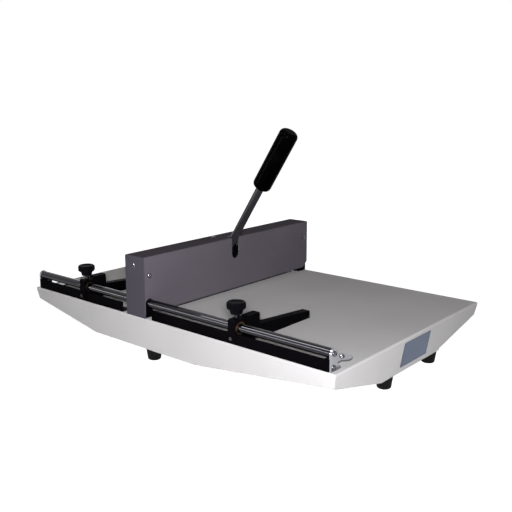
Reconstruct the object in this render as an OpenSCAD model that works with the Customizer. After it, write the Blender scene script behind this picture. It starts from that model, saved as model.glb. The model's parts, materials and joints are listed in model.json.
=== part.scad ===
// Desktop paper creasing machine.
// A folded sheet-metal table carries a press beam across it. A hand lever turns
// a rocker shaft in the beam, and two cams on the shaft push a creasing blade
// down into a grooved die. Two paper stops slide on a round rail at the front.
// Drawn from the table's front left corner: X to the right, Y to the back and
// Z up from the table's top. placed() then moves all of it to the part's frame.

/* [Table] */
// Width of the table, left to right
table_w = 600; // [590:1:640]
// Depth of the table, front to back
table_d = 390; // [384:1:420]
// Thickness of the folded sheet
sheet_t = 1.5; // [1:0.1:2]
// Height of the skirt along its level middle
skirt_h = 50; // [46:1:56]
// Height of the skirt at the corners
corner_h = 19; // [15:1:26]
// Lean of the skirt, inwards at its lower edge
skirt_lean = 9; // [6:0.5:11]
// Length of the level lower edge, front and back
level_w = 217; // [180:1:240]
// Length of the level lower edge, left and right
level_d = 150; // [130:1:180]
// Width of the flange turned in under the skirt
flange_w = 32; // [28:1:40]
// Outer radius of the folds between the top and the skirts
table_fold_r = 2.6; // [2:0.1:3]

/* [Feet] */
// Height of a rubber foot
foot_h = 16; // [14:0.5:22]
// Radius of a foot at its top
foot_r = 11.5; // [10:0.5:13]
// Radius of a foot at the floor
foot_floor_r = 9.6; // [8.5:0.1:10]
// Distance from the table's edge to a foot's centre
foot_inset = 19; // [17:0.5:22]
// Distance between the two feet below each side
foot_spread = 124; // [110:1:130]
// Shift of the side feet behind the middle of the table's depth
foot_shift = 11; // [5:0.5:12]
// Distance of the front and rear feet to the right of the press beam's middle
foot_right = 16; // [10:0.5:20]

/* [Press beam] */
// Middle of the beam across the table
beam_x = 254; // [250:1:262]
// Width of the beam's cover
cover_w = 40; // [39:0.5:44]
// Height of the cover's top above the table
cover_top = 89.5; // [88.5:0.5:96]
// Gap for the paper below the cover's sides
paper_gap = 6.5; // [6:0.5:8]
// Thickness of the cover's sheet
cover_t = 1.5; // [1:0.1:1.6]
// Outer radius of the cover's folds
cover_fold_r = 2; // [1.6:0.1:3]
// Corner cut from the cover's lower rear end
rear_cut = [11, 9.5];
// Thickness of each post along the beam
post_t = 20; // [18:0.5:22]
// Height of the posts
post_h = 85; // [82:0.5:86]

/* [Base beam and die] */
// Width of the bar under the table
base_w = 44; // [40:1:50]
// Height of the bar under the table
base_h = 30; // [28:1:34]
// Width of the grooved die
die_w = 14; // [12:0.5:15]
// Height of the die
die_h = 12; // [10:0.5:14]
// Width of the creasing groove
groove_w = 1.6; // [1.4:0.1:2.4]
// Depth of the creasing groove
groove_d = 1.2; // [0.8:0.1:1.6]

/* [Lever and cams] */
// Height of the rocker shaft above the table
pivot_z = 62; // [61.5:0.5:63]
// Radius of the rocker shaft
shaft_r = 7; // [6:0.25:7.5]
// Lean of the lever at rest, from upright to the right
lever_lean = 33; // [31:1:35]
// Swing of the lever when it is pulled down
lever_swing = 50; // [45:1:51]
// Travel of the blade for the whole swing
blade_travel = 5.5; // [5:0.1:5.6]
// Radius of the lever's rod
rod_r = 6.25; // [5:0.25:6.75]
// Distances of the grip's two ends from the shaft
grip_ends = [133, 237];
// Radius of the grip
grip_r = 14.5; // [12:0.5:16]
// Radius of the hub that holds the rod
hub_r = 17.5; // [15:0.25:17.75]
// Length of the hub
hub_l = 22; // [18:1:24]
// Thickness of a cam
cam_t = 12; // [8:1:14]
// Height of the shaft above the follower pads at rest
cam_rest_h = 12; // [11.5:0.1:12.2]
// Distance from the lever to each cam
cam_offset = 90; // [60:1:110]
// Width of the lever's slot in the cover
slot_w = 16; // [15:0.5:18]
// Height of the lever slot's lower end above the table
slot_low = 55.5; // [54:0.5:56]

/* [Blade] */
// Width of the pressure bar
bar_w = 20; // [18:0.5:24]
// Height of the pressure bar
bar_h = 25; // [20:0.5:26]
// Thickness of the creasing blade
blade_t = 1; // [0.8:0.05:1.1]
// Height of the blade's edge above the table at rest
blade_rest_z = 5.2; // [5:0.1:5.4]
// Radius of the guide pins
pin_r = 5; // [4:0.25:5.5]
// Distance from the table's front and back to the guide pins
pin_inset = 32; // [31.5:0.5:34]
// Radius of the return springs' wire
wire_r = 1; // [0.7:0.05:1.1]
// Turns of a return spring
spring_turns = 6; // [5:1:8]

/* [Rail and fence] */
// Radius of the round rail
rail_r = 6; // [5:0.25:6]
// Distance of the rail's axis behind the table's front edge
rail_y = 9; // [9:0.25:9.5]
// Height of the rail's axis above the table
rail_z = 21.5; // [21.5:0.25:23]
// Height of the fence angle at the table's front edge
fence_h = 15; // [12:0.5:15]
// Thickness of the fence angle
fence_t = 1.6; // [1.5:0.1:1.8]
// Depth of the fence angle's lower leg
fence_d = 15.7; // [15:0.1:16]
// Distance from the table's left and right edges to the end brackets
bracket_inset = 8; // [6:0.5:12]
// Thickness of the end brackets
bracket_t = 3; // [2.5:0.1:4]

/* [Paper stops] */
// Place of the left stop along the rail
left_stop_x = 129; // [110:1:150]
// Place of the right stop along the rail
right_stop_x = 440.5; // [400:0.5:480]
// Width of the stop's block along the rail
block_w = 12; // [11.5:0.5:13]
// Depth of the block in front of the table's edge
block_lip = 0.8; // [0.6:0.1:1.5]
// Height of the block's top above the table
block_top = 33.2; // [32.5:0.1:34]
// Width of the stop's arm
arm_w = 12; // [10:0.5:14]
// Reach of the arm behind the table's front edge
arm_reach = 156; // [120:1:160]
// Height of the arm at its root and at its tip
arm_heights = [19.5, 11.5];
// Radius of the knob's lobed head
knob_r = 12.75; // [11:0.25:13]
// Lobes of the knob
knob_lobes = 8; // [5:1:10]

/* [Hidden] */
$fn = 64;
// Running gap between parts that move past each other
run_gap = 0.3;
// Radial clearance of a shaft in its bearing
bore_gap = 0.05;
// Gap between fixed parts that are slipped together
slip_gap = 0.1;
// Extra depth of a cut that runs out of a face
over = 1;

// Screws: shank radius, head radius and head height of the small ones
screw_r = 2;
screw_hole_r = 2.2;
head_r = 3.4;
head_h = 2.2;
// Recess in a screw's head
recess_w = 0.8;
recess_l = 3.6;
recess_d = 1.1;
// Shares of a pan head where its rim ends and its crown begins
head_rim_share = 0.45;
head_crown_share = 0.66;
// Bolts that hold the posts
bolt_r = 3;
bolt_hole_r = 3.3;
bolt_head_r = 5;
bolt_head_h = 6;
bolt_rise = 12;
bolt_side = 12;
bolt_shift = 3;

// Plate that closes the cover's front end
plate_t = cover_t;
plate_screw_z = 75.5;
side_screw_inset = 10;
side_screw_z = pivot_z;
side_screw_l = 7;
end_screw_l = 8;
top_screw_place = [-6.4, -23.4];
top_screw_l = 9;

// Where the slanted skirt's inner face stands at the base beam's lower edge
base_end = sheet_t + skirt_lean * (sheet_t + base_h) / skirt_h + run_gap;
base_top = -sheet_t;
base_low = base_top - base_h;
// Slot in the table for the die and the springs
table_slot_w = 18.4;

// Posts
front_post_y = plate_t + run_gap;
rear_post_y = table_d - cover_t - run_gap - post_t;
post_w = cover_w - 2 * cover_t - 2 * run_gap;
bush_r = shaft_r + 3;
rail_notch_r = rail_r + slip_gap;

// Lever
lever_y = table_d / 2;
hub_seat_r = 2;
spigot_r = 4;
rod_end = grip_ends[1] - 15;
grip_round = 7;
shaft_end_gap = 1;
slot_round_x = beam_x + slot_w / 2 + 4;

// Cams: a follower that is flat and level rises and falls in step with the
// shaft's turn when the cam's outline is the involute of a circle with this radius
cam_rate = blade_travel / (lever_swing * PI / 180);
cam_hub_r = 10.5;
cam_steps = 12;
stop_collar_r = 11;
stop_collar_t = 13;
stop_lug_w = 6;
stop_lug_top = 16.4;
stop_block_w = 14;
stop_block_l = 16;
stop_block_low = 12.2;

// Pressure bar, blade and follower pads
bar_low = 11;
bar_end = 24;
pad_w = 20;
pad_l = 18;
blade_seat = 8;
blade_screw_count = 4;
blade_screw_end = 30;

// Springs and guide pins
spring_r = 6.7;
spring_pocket_r = 8.5;
spring_low = -13.5;
spring_sides = 6;
spring_rings = 8;
pin_low = -25;
pin_top = bar_low + bar_h + 6;
pin_ring_t = 2;
pin_ring_r = 9;

// Die screws
die_screw_places = [-120, 0, 120];
die_screw_rise = 8;
die_screw_sink = 4;

// Flats that make up a fold's round
fold_steps = 5;

// Fence angles and their screws
fence_y = 1.4;
fence_beam_gap = 12;
fence_lug_l = 12;
fence_lug_h = 12;
fence_lug_inset = 0.8;
fence_screw_end = 40;
fence_screw_y = 9.5;
lower_screw_y = 8.2;
lower_screw_z = 4.6;
end_hole_depth = 9;

// End brackets
bracket_round_r = 6.6;
bracket_foot_t = 2.5;
bracket_foot_w = 14;
bracket_pad_r = 13;
bracket_pad_y = 51.5;
bracket_pad_in = 17.5;
bracket_foot_start = fence_y + fence_d + run_gap;
bracket_gusset = [23, 8];

// Paper stops
stop_bush_r = rail_r + 1.5;
bush_flange_r = rail_r + 2.5;
bush_flange_t = 1.5;
lip_low = 4;
leg_gap = 0.4;
block_low = fence_t + 0.6;
block_rear = 22;
block_chamfer = 2;
boss_rear = 44.5;
boss_top = block_top + 2;
arm_out = 4.2;
arm_low = run_gap;
arm_screw_r = 2;
arm_screw_x = 2.6;
arm_screw_z = 28;
arm_screw_tip = 17.6;
arm_screw_head_r = 3.5;
arm_screw_head_h = 4;
arm_tip_chamfer = 1.2;
lip_screw_r = 1.5;
lip_screw_z = 8.5;
lip_screw_end = fence_y - leg_gap - 0.2;
lip_head_r = 2.4;
lip_head_h = head_h;

// Knobs
stud_r = 3;
stud_low = rail_z + stop_bush_r + run_gap;
hub_gap = 6.4;
knob_hub_h = 6.5;
knob_hub_rs = [7.4, 9.3];
knob_head_h = 9.4;
knob_flute_r = 3.4;
knob_flute_out = 1.9;
knob_round = 1.6;
knob_low = block_top + hub_gap;
knob_seat = knob_low + knob_hub_h;
knob_top = knob_seat + knob_head_h;
stud_top = knob_top - 5;
knob_dish_r = 7.5;
knob_dish_d = 1;

// Feet
foot_screw_l = 13;
foot_bore_r = 2.3;
foot_pocket_r = 4.6;
foot_pocket_d = 7;
foot_round = 1.2;
nut_r = 4;
nut_h = 3.2;

// The part's frame: its origin is below the middle, on the floor
ground_z = skirt_h + foot_h;
middle_y = (table_d - block_lip) / 2;

// Length of the die and the blade, between the pockets of the return springs
die_end_gap = 4.5;
die_l = table_d - 2 * (pin_inset + spring_pocket_r + die_end_gap);

// Places of the six feet
foot_places = [
    table_d / 2 + foot_shift - foot_spread / 2,
    table_d / 2 + foot_shift + foot_spread / 2
];
foot_middle_x = beam_x + foot_right;
foot_points = [
    [foot_middle_x, foot_inset],
    [foot_middle_x, table_d - foot_inset],
    [foot_inset, foot_places[0]],
    [foot_inset, foot_places[1]],
    [table_w - foot_inset, foot_places[0]],
    [table_w - foot_inset, foot_places[1]]
];

// Colours as the photograph shows them
paint_white = [0.88, 0.88, 0.87];
paint_purple = [0.33, 0.31, 0.35];
black = [0.06, 0.06, 0.07];
chrome = [0.78, 0.79, 0.82];
steel = [0.55, 0.56, 0.58];
bronze = [0.62, 0.45, 0.27];
zinc = [0.7, 0.71, 0.73];

// Move a piece from the table's corner to the part's frame
module placed() {
    translate([-table_w / 2, -middle_y, ground_z]) children();
}

// A box between two corners
module block(low, high) {
    translate(low) cube(high - low);
}

// Round bars along X, Y and Z
module bar_x(x0, x1, y, z, r) {
    translate([x0, y, z]) rotate([0, 90, 0]) cylinder(r = r, h = x1 - x0);
}
module bar_y(y0, y1, x, z, r) {
    translate([x, y0, z]) rotate([-90, 0, 0]) cylinder(r = r, h = y1 - y0);
}
module bar_z(z0, z1, x, y, r) {
    translate([x, y, z0]) cylinder(r = r, h = z1 - z0);
}

// An outline of X and Z points drawn out along Y, and one of Y and Z along X
module prism_y(points, y0, y1) {
    translate([0, y1, 0]) rotate([90, 0, 0]) linear_extrude(y1 - y0) polygon(points);
}
module prism_x(points, x0, x1) {
    translate([x0, 0, 0]) rotate([90, 0, 90]) linear_extrude(x1 - x0) polygon(points);
}

// A pan-head screw that points down, with the underside of its head at zero
module pan_screw(length, r = screw_r) {
    bar_z(-length, 0, 0, 0, r);
    difference() {
        rotate_extrude() polygon([
            [0, 0], [head_r, 0], [head_r, head_h * head_rim_share],
            [head_r * head_crown_share, head_h], [0, head_h]
        ]);
        for (turn = [0, 90]) rotate([0, 0, turn])
            block([-recess_l / 2, -recess_w / 2, head_h - recess_d],
                  [recess_l / 2, recess_w / 2, head_h + over]);
    }
}

// A socket-head bolt that points up, with the underside of its head at zero
module socket_bolt(length, r, cap_r, cap_h) {
    bar_z(0, length, 0, 0, r);
    difference() {
        bar_z(-cap_h, 0, 0, 0, cap_r);
        translate([0, 0, -cap_h - over]) cylinder(r = r, h = cap_h / 2 + over, $fn = 6);
    }
}

// Table: a shallow box of sheet, open below, whose skirts lean in

// Inset of a skirt's face from the table's edge at a depth below the top
function lean_at(depth) = skirt_lean * depth / skirt_h;

// The fold between a skirt at the left and the top, from the skirt upwards
function fold_arc(edge, top, r) =
    let (lean = atan2(skirt_lean, skirt_h), run = r / tan((90 - lean) / 2))
    [
        for (i = [0 : fold_steps])
            let (turn = 180 + lean - i * (90 + lean) / fold_steps)
            [edge + run + r * cos(turn), top - r + r * sin(turn)]
    ];

// Outline of the table across one direction, with its two folds
function folded_outline(span, edge, top, low_edge, low, r) =
    let (fold = fold_arc(edge, top, r))
    concat(
        fold,
        [for (i = [fold_steps : -1 : 0]) [span - fold[i][0], fold[i][1]]],
        [[span - low_edge, low], [low_edge, low]]
    );

// A block with four leaning sides, inset all round by the sheet's thickness or not
module leaning_block(inset, top, low) {
    a = inset + lean_at(-top);
    b = inset + lean_at(-low);
    r = table_fold_r - inset;
    intersection() {
        prism_y(folded_outline(table_w, a, top, b, low, r), 0, table_d);
        prism_x(folded_outline(table_d, a, top, b, low, r), 0, table_w);
    }
}

// What is cut away below one skirt of a given length, drawn along X at y = 0
module skirt_clearing(length, level_from, level_to) {
    zone = skirt_lean + 2 * sheet_t;
    intersection() {
        prism_y([
            [-over, -corner_h], [level_from, -skirt_h], [level_to, -skirt_h],
            [length + over, -corner_h], [length + over, -skirt_h - over],
            [-over, -skirt_h - over]
        ], -over, zone);
        translate([0, 0, -skirt_h - over]) linear_extrude(skirt_h) polygon([
            [-over, -over], [length + over, -over],
            [length - zone, zone], [zone, zone]
        ]);
    }
}

module all_clearings() {
    level_x = beam_x - level_w / 2;
    level_y = (table_d - level_d) / 2;
    skirt_clearing(table_w, level_x, level_x + level_w);
    translate([0, table_d, 0]) mirror([0, 1, 0])
        skirt_clearing(table_w, level_x, level_x + level_w);
    translate([0, table_d, 0]) rotate([0, 0, -90])
        skirt_clearing(table_d, level_y, level_y + level_d);
    translate([table_w, 0, 0]) rotate([0, 0, 90])
        skirt_clearing(table_d, level_y, level_y + level_d);
}

// Flanges turned in under the level edges, which carry the feet
module flanges() {
    low = -skirt_h;
    high = low + sheet_t;
    level_x = beam_x - level_w / 2;
    level_y = (table_d - level_d) / 2;
    side_end = max(level_y + level_d, foot_places[1] + foot_r + 2 * sheet_t);
    for (y = [skirt_lean, table_d - skirt_lean - flange_w])
        block([level_x, y, low], [level_x + level_w, y + flange_w, high]);
    for (x = [skirt_lean, table_w - skirt_lean - flange_w])
        block([x, level_y, low], [x + flange_w, side_end, high]);
}

module table_tray() {
    color(paint_white) placed() difference() {
        union() {
            difference() {
                leaning_block(0, 0, -skirt_h);
                leaning_block(sheet_t, -sheet_t, -skirt_h - over);
                all_clearings();
            }
            flanges();
        }
        block([beam_x - table_slot_w / 2, pin_inset - table_slot_w / 2, -sheet_t - over],
              [beam_x + table_slot_w / 2, table_d - pin_inset + table_slot_w / 2, over]);
        for (p = post_bolt_points())
            bar_z(-sheet_t - over, over, p[0], p[1], bolt_hole_r);
        for (p = fence_screw_points())
            bar_z(-sheet_t - over, over, p[0], p[1], screw_hole_r);
        for (p = bracket_screw_points())
            bar_z(-sheet_t - over, over, p[0], p[1], screw_hole_r);
        for (p = foot_points)
            bar_z(-skirt_h - over, -skirt_h + sheet_t + over, p[0], p[1], screw_hole_r);
    }
}

// Base beam, die and posts

// The four bolts that hold the posts, two in each
function post_bolt_points() = [
    for (y = [front_post_y + post_t / 2 + bolt_shift,
              rear_post_y + post_t / 2 - bolt_shift])
        for (side = [-bolt_side, bolt_side]) [beam_x + side, y]
];
function pin_places() = [pin_inset, table_d - pin_inset];

module base_beam() {
    color(steel) placed() difference() {
        block([beam_x - base_w / 2, base_end, base_low],
              [beam_x + base_w / 2, table_d - base_end, base_top]);
        block([beam_x - die_w / 2 - slip_gap, lever_y - die_l / 2 - slip_gap, -die_h],
              [beam_x + die_w / 2 + slip_gap, lever_y + die_l / 2 + slip_gap, over]);
        for (y = pin_places()) {
            bar_z(spring_low, over, beam_x, y, spring_pocket_r);
            bar_z(pin_low, over, beam_x, y, pin_r);
        }
        for (p = post_bolt_points()) {
            bar_z(base_low - over, over, p[0], p[1], bolt_hole_r);
            bar_z(base_low - over, base_low + bolt_head_h, p[0], p[1],
                  bolt_head_r + screw_hole_r - screw_r);
        }
        for (y = die_screw_places) {
            bar_z(base_low - over, over, beam_x, lever_y + y, screw_hole_r);
            bar_z(base_low - over, base_low + die_screw_sink, beam_x, lever_y + y,
                  head_r + screw_hole_r - screw_r);
        }
    }
}

module creasing_die() {
    color(steel) placed() difference() {
        block([beam_x - die_w / 2, lever_y - die_l / 2, -die_h],
              [beam_x + die_w / 2, lever_y + die_l / 2, 0]);
        block([beam_x - groove_w / 2, lever_y - die_l / 2 - over, -groove_d],
              [beam_x + groove_w / 2, lever_y + die_l / 2 + over, over]);
        for (y = die_screw_places)
            bar_z(-die_h - over, -die_h + die_screw_rise + bore_gap, beam_x, lever_y + y,
                  screw_r + bore_gap);
    }
}

module die_screws() {
    seat = base_low + die_screw_sink;
    color(zinc) placed()
        for (y = die_screw_places)
            translate([beam_x, lever_y + y, seat]) rotate([180, 0, 0])
                pan_screw(-die_h + die_screw_rise - seat);
}

// A post, with the rocker shaft's bearing bore and its threaded holes
module post(y0, outer_y, inward) {
    difference() {
        block([beam_x - post_w / 2, y0, 0], [beam_x + post_w / 2, y0 + post_t, post_h]);
        bar_y(y0 - over, y0 + post_t + over, beam_x, pivot_z, bush_r);
        for (p = post_bolt_points())
            bar_z(-over, bolt_rise + bore_gap, p[0], p[1], bolt_r + bore_gap);
        for (side = [-1, 1])
            translate([beam_x + side * post_w / 2, outer_y + inward * side_screw_inset,
                       side_screw_z])
                rotate([0, side * 90, 0])
                    bar_z(-side_screw_l + cover_t + run_gap - bore_gap, over, 0, 0,
                          screw_r + bore_gap);
        translate([beam_x, outer_y, plate_screw_z]) rotate([inward * 90, 0, 0])
            bar_z(-end_screw_l - bore_gap, over, 0, 0, screw_r + bore_gap);
    }
}

module front_post() {
    color(black) placed() difference() {
        post(front_post_y, 0, 1);
        bar_x(beam_x - post_w, beam_x + post_w, rail_y, rail_z, rail_notch_r);
        block([beam_x - post_w, 0, rail_z - rail_notch_r],
              [beam_x + post_w, rail_y, rail_z + rail_notch_r]);
    }
}

module rear_post() {
    color(black) placed() post(rear_post_y, table_d, -1);
}

module post_bolts() {
    seat = base_low + bolt_head_h;
    color(zinc) placed()
        for (p = post_bolt_points())
            translate([p[0], p[1], seat])
                socket_bolt(bolt_rise - seat, bolt_r, bolt_head_r, bolt_head_h);
}

module shaft_bush(y0) {
    color(bronze) placed() difference() {
        bar_y(y0, y0 + post_t, beam_x, pivot_z, bush_r);
        bar_y(y0 - over, y0 + post_t + over, beam_x, pivot_z, shaft_r + bore_gap);
    }
}
module front_shaft_bush() shaft_bush(front_post_y);
module rear_shaft_bush() shaft_bush(rear_post_y);

// Cover of the press beam: a folded channel with a closed rear end

// Outline of the channel across the beam, with folds of the given radius
module channel_outline(half_w, top, low, fold_r) {
    translate([-half_w, low]) square([2 * half_w, top - low - fold_r]);
    translate([-half_w + fold_r, low]) square([2 * (half_w - fold_r), top - low]);
    for (side = [-1, 1])
        translate([side * (half_w - fold_r), top - fold_r]) circle(r = fold_r);
}
module channel(half_w, y0, y1, top, low, fold_r) {
    translate([beam_x, y1, 0]) rotate([90, 0, 0]) linear_extrude(y1 - y0)
        channel_outline(half_w, top, low, fold_r);
}

// The lever's way through the cover's top and right side
module lever_slot() {
    right = beam_x + cover_w / 2 + over;
    bar_z(cover_top - 2 * cover_t, cover_top + over, slot_round_x, lever_y, slot_w / 2);
    block([slot_round_x, lever_y - slot_w / 2, cover_top - 2 * cover_t],
          [right, lever_y + slot_w / 2, cover_top + over]);
    bar_x(beam_x + cover_w / 2 - 2 * cover_t, right, lever_y, slot_low + slot_w / 2,
          slot_w / 2);
    block([beam_x + cover_w / 2 - 2 * cover_t, lever_y - slot_w / 2,
           slot_low + slot_w / 2],
          [right, lever_y + slot_w / 2, cover_top + over]);
}

module beam_cover() {
    half_w = cover_w / 2;
    notch_r = rail_r + over;
    color(paint_purple) placed() difference() {
        channel(half_w, plate_t, table_d, cover_top, paper_gap, cover_fold_r);
        channel(half_w - cover_t, -over, table_d - cover_t, cover_top - cover_t,
                paper_gap - over, cover_fold_r - cover_t);
        lever_slot();
        bar_x(beam_x - cover_w, beam_x + cover_w, rail_y, rail_z, notch_r);
        block([beam_x - cover_w, rail_y - notch_r, 0],
              [beam_x + cover_w, rail_y + notch_r, rail_z]);
        prism_x([
            [table_d - rear_cut[0] - over, paper_gap - over],
            [table_d + over, paper_gap - over],
            [table_d + over, paper_gap + rear_cut[1] + over]
        ], beam_x - cover_w, beam_x + cover_w);
        for (y = [side_screw_inset, table_d - side_screw_inset])
            bar_x(beam_x - cover_w, beam_x + cover_w, y, side_screw_z, screw_hole_r);
        bar_y(table_d - cover_t - over, table_d + over, beam_x, plate_screw_z,
              screw_hole_r);
        bar_z(cover_top - cover_t - over, cover_top + over, beam_x + top_screw_place[0],
              lever_y + top_screw_place[1], screw_hole_r);
    }
}

module front_end_plate() {
    color(paint_purple) placed() difference() {
        channel(cover_w / 2, 0, plate_t, cover_top, 0, cover_fold_r);
        bar_y(-over, plate_t + over, beam_x, plate_screw_z, screw_hole_r);
    }
}

module cover_screws() {
    color(zinc) placed() {
        for (y = [side_screw_inset, table_d - side_screw_inset])
            for (side = [-1, 1])
                translate([beam_x + side * cover_w / 2, y, side_screw_z])
                    rotate([0, side * 90, 0]) pan_screw(side_screw_l);
        translate([beam_x, 0, plate_screw_z]) rotate([90, 0, 0])
            pan_screw(end_screw_l);
        translate([beam_x, table_d, plate_screw_z]) rotate([-90, 0, 0])
            pan_screw(end_screw_l);
        translate([beam_x + top_screw_place[0], lever_y + top_screw_place[1], cover_top])
            pan_screw(top_screw_l);
    }
}

// Block below the cover's top that the lever's stop collar rests against
module lever_stop_block() {
    y = lever_y + top_screw_place[1];
    top = cover_top - cover_t;
    color(black) placed() difference() {
        block([beam_x - stop_block_w, y - stop_block_l / 2, pivot_z + stop_block_low],
              [beam_x, y + stop_block_l / 2, top]);
        bar_z(cover_top - top_screw_l - bore_gap, top + over, beam_x + top_screw_place[0],
              y, screw_r + bore_gap);
    }
}

// Rail, fence angles and end brackets

function rail_ends() = [bracket_inset + bracket_t, table_w - bracket_inset - bracket_t];

module front_rail() {
    ends = rail_ends();
    color(chrome) placed() difference() {
        bar_x(ends[0], ends[1], rail_y, rail_z, rail_r);
        bar_x(ends[0] - over, ends[0] + end_hole_depth, rail_y, rail_z,
              screw_r + bore_gap);
        bar_x(ends[1] - end_hole_depth, ends[1] + over, rail_y, rail_z,
              screw_r + bore_gap);
    }
}

// Where each fence angle starts and ends along X
function fence_span(side) = side < 0
    ? [rail_ends()[0], beam_x - cover_w / 2 - fence_beam_gap]
    : [beam_x + cover_w / 2 + fence_beam_gap, rail_ends()[1]];
function fence_screw_points() = [
    for (side = [-1, 1])
        for (x = [fence_span(side)[0] + fence_screw_end, fence_span(side)[1] - fence_screw_end])
            [x, fence_screw_y]
];

module fence_angle(side) {
    ends = fence_span(side);
    lug_x = side < 0 ? ends[0] : ends[1] - fence_lug_l;
    hole_x = side < 0 ? ends[0] - over : ends[1] - end_hole_depth;
    color(black) placed() difference() {
        union() {
            block([ends[0], fence_y, 0], [ends[1], fence_y + fence_t, fence_h]);
            block([ends[0], fence_y, 0], [ends[1], fence_y + fence_d, fence_t]);
            block([lug_x, fence_y, 0],
                  [lug_x + fence_lug_l, fence_y + fence_d - fence_lug_inset, fence_lug_h]);
        }
        bar_x(hole_x, hole_x + end_hole_depth + over, lower_screw_y, lower_screw_z,
              screw_r + bore_gap);
        for (p = fence_screw_points())
            bar_z(-over, fence_t + over, p[0], p[1], screw_r + bore_gap);
    }
}
module left_fence_angle() fence_angle(-1);
module right_fence_angle() fence_angle(1);

module fence_screws() {
    color(zinc) placed()
        for (p = fence_screw_points())
            translate([p[0], p[1], -sheet_t]) rotate([180, 0, 0])
                pan_screw(sheet_t + fence_t);
}

// The right bracket, and its mirror image at the left
module bracket_shape() {
    outer = table_w - bracket_inset;
    inner = outer - bracket_t;
    pad_x = outer - bracket_pad_in;
    neck = bracket_foot_w / 2;
    difference() {
        union() {
            bar_x(inner, outer, rail_y, rail_z, bracket_round_r);
            block([inner, rail_y - bracket_round_r, 0],
                  [outer, rail_y + bracket_round_r, rail_z]);
            prism_x([
                [rail_y, 0], [bracket_gusset[0], 0],
                [bracket_gusset[0], bracket_foot_t],
                [rail_y + bracket_round_r, bracket_gusset[1]],
                [rail_y, bracket_gusset[1]]
            ], inner, outer);
            block([pad_x - neck, bracket_foot_start, 0],
                  [outer, bracket_gusset[0], bracket_foot_t]);
            block([pad_x - neck, bracket_foot_start, 0],
                  [pad_x + neck, bracket_pad_y, bracket_foot_t]);
            bar_z(0, bracket_foot_t, pad_x, bracket_pad_y, bracket_pad_r);
        }
        bar_x(inner - over, outer + over, rail_y, rail_z, screw_hole_r);
        bar_x(inner - over, outer + over, lower_screw_y, lower_screw_z, screw_hole_r);
        bar_z(-over, bracket_foot_t + over, pad_x, bracket_pad_y, screw_hole_r);
    }
}

function bracket_screw_points() = [
    for (x = [bracket_inset + bracket_pad_in, table_w - bracket_inset - bracket_pad_in])
        [x, bracket_pad_y]
];

module right_rail_bracket() {
    color(chrome) placed() bracket_shape();
}
module left_rail_bracket() {
    color(chrome) placed() translate([table_w, 0, 0]) mirror([1, 0, 0]) bracket_shape();
}

module rail_screws() {
    color(zinc) placed()
        for (side = [-1, 1])
            for (p = [[rail_y, rail_z], [lower_screw_y, lower_screw_z]])
                translate([side < 0 ? bracket_inset : table_w - bracket_inset, p[0], p[1]])
                    rotate([0, side * 90, 0])
                        pan_screw(bracket_t + end_hole_depth - over);
}

module bracket_screws() {
    color(zinc) placed()
        for (p = bracket_screw_points())
            translate([p[0], p[1], bracket_foot_t])
                pan_screw(bracket_foot_t + 2 * sheet_t);
}

// Feet

module foot(index) {
    p = foot_points[index];
    color(black) placed() translate([p[0], p[1], -ground_z]) rotate_extrude() polygon([
        [foot_pocket_r, 0], [foot_floor_r - foot_round, 0], [foot_floor_r, foot_round],
        [foot_r, foot_h - foot_round], [foot_r, foot_h], [foot_bore_r, foot_h],
        [foot_bore_r, foot_pocket_d], [foot_pocket_r, foot_pocket_d]
    ]);
}
module foot_front() foot(0);
module foot_rear() foot(1);
module foot_left_front() foot(2);
module foot_left_rear() foot(3);
module foot_right_front() foot(4);
module foot_right_rear() foot(5);

module foot_screws() {
    color(zinc) placed()
        for (p = foot_points)
            translate([p[0], p[1], -ground_z + foot_pocket_d]) rotate([180, 0, 0])
                pan_screw(foot_screw_l);
}

module foot_nuts() {
    color(zinc) placed()
        for (p = foot_points)
            translate([p[0], p[1], -skirt_h + sheet_t]) difference() {
                cylinder(r = nut_r, h = nut_h, $fn = 6);
                bar_z(-over, nut_h + over, 0, 0, screw_r + bore_gap);
            }
}

// Guide pins and return springs

module guide_pin(y) {
    color(zinc) placed() bar_z(pin_low, pin_top, beam_x, y, pin_r);
}
module front_guide_pin() guide_pin(pin_places()[0]);
module rear_guide_pin() guide_pin(pin_places()[1]);

module guide_pin_rings() {
    low = bar_low + bar_h + run_gap;
    color(zinc) placed()
        for (y = pin_places())
            difference() {
                bar_z(low, low + pin_ring_t, beam_x, y, pin_ring_r);
                bar_z(low - over, low + pin_ring_t + over, beam_x, y, pin_r);
            }
}

// Points of one ring of wire round the coil's path at a share of its length
function coil_ring(share, length) =
    let (turn = 360 * spring_turns * share,
         rise = atan2(length, 2 * PI * spring_r * spring_turns))
    [for (side = [0 : spring_sides - 1])
        let (a = 360 * side / spring_sides,
             out = wire_r * cos(a),
             up = wire_r * sin(a))
        [(spring_r + out) * cos(turn) + up * sin(rise) * sin(turn),
         (spring_r + out) * sin(turn) - up * sin(rise) * cos(turn),
         wire_r + length * share + up * cos(rise)]];

module coil_spring(y) {
    count = spring_turns * spring_rings;
    length = bar_low - spring_low - 2 * wire_r;
    points = [for (i = [0 : count]) each coil_ring(i / count, length)];
    walls = [for (i = [0 : count - 1]) for (j = [0 : spring_sides - 1])
        let (a = i * spring_sides + j,
             b = i * spring_sides + (j + 1) % spring_sides)
        each [[a, a + spring_sides, b + spring_sides], [a, b + spring_sides, b]]];
    near_cap = [for (j = [1 : spring_sides - 2]) [0, j, j + 1]];
    last = count * spring_sides;
    far_cap = [for (j = [1 : spring_sides - 2]) [last, last + j + 1, last + j]];
    color(steel) placed() translate([beam_x, y, spring_low])
        polyhedron(points = points, faces = concat(walls, near_cap, far_cap));
}
module front_return_spring() coil_spring(pin_places()[0]);
module rear_return_spring() coil_spring(pin_places()[1]);
echo(least_gap_between_coils =
    (bar_low - spring_low - 2 * wire_r) / spring_turns - 2 * wire_r);

// Lever: shaft, hub, rod, grip, cams and stop collar

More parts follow.
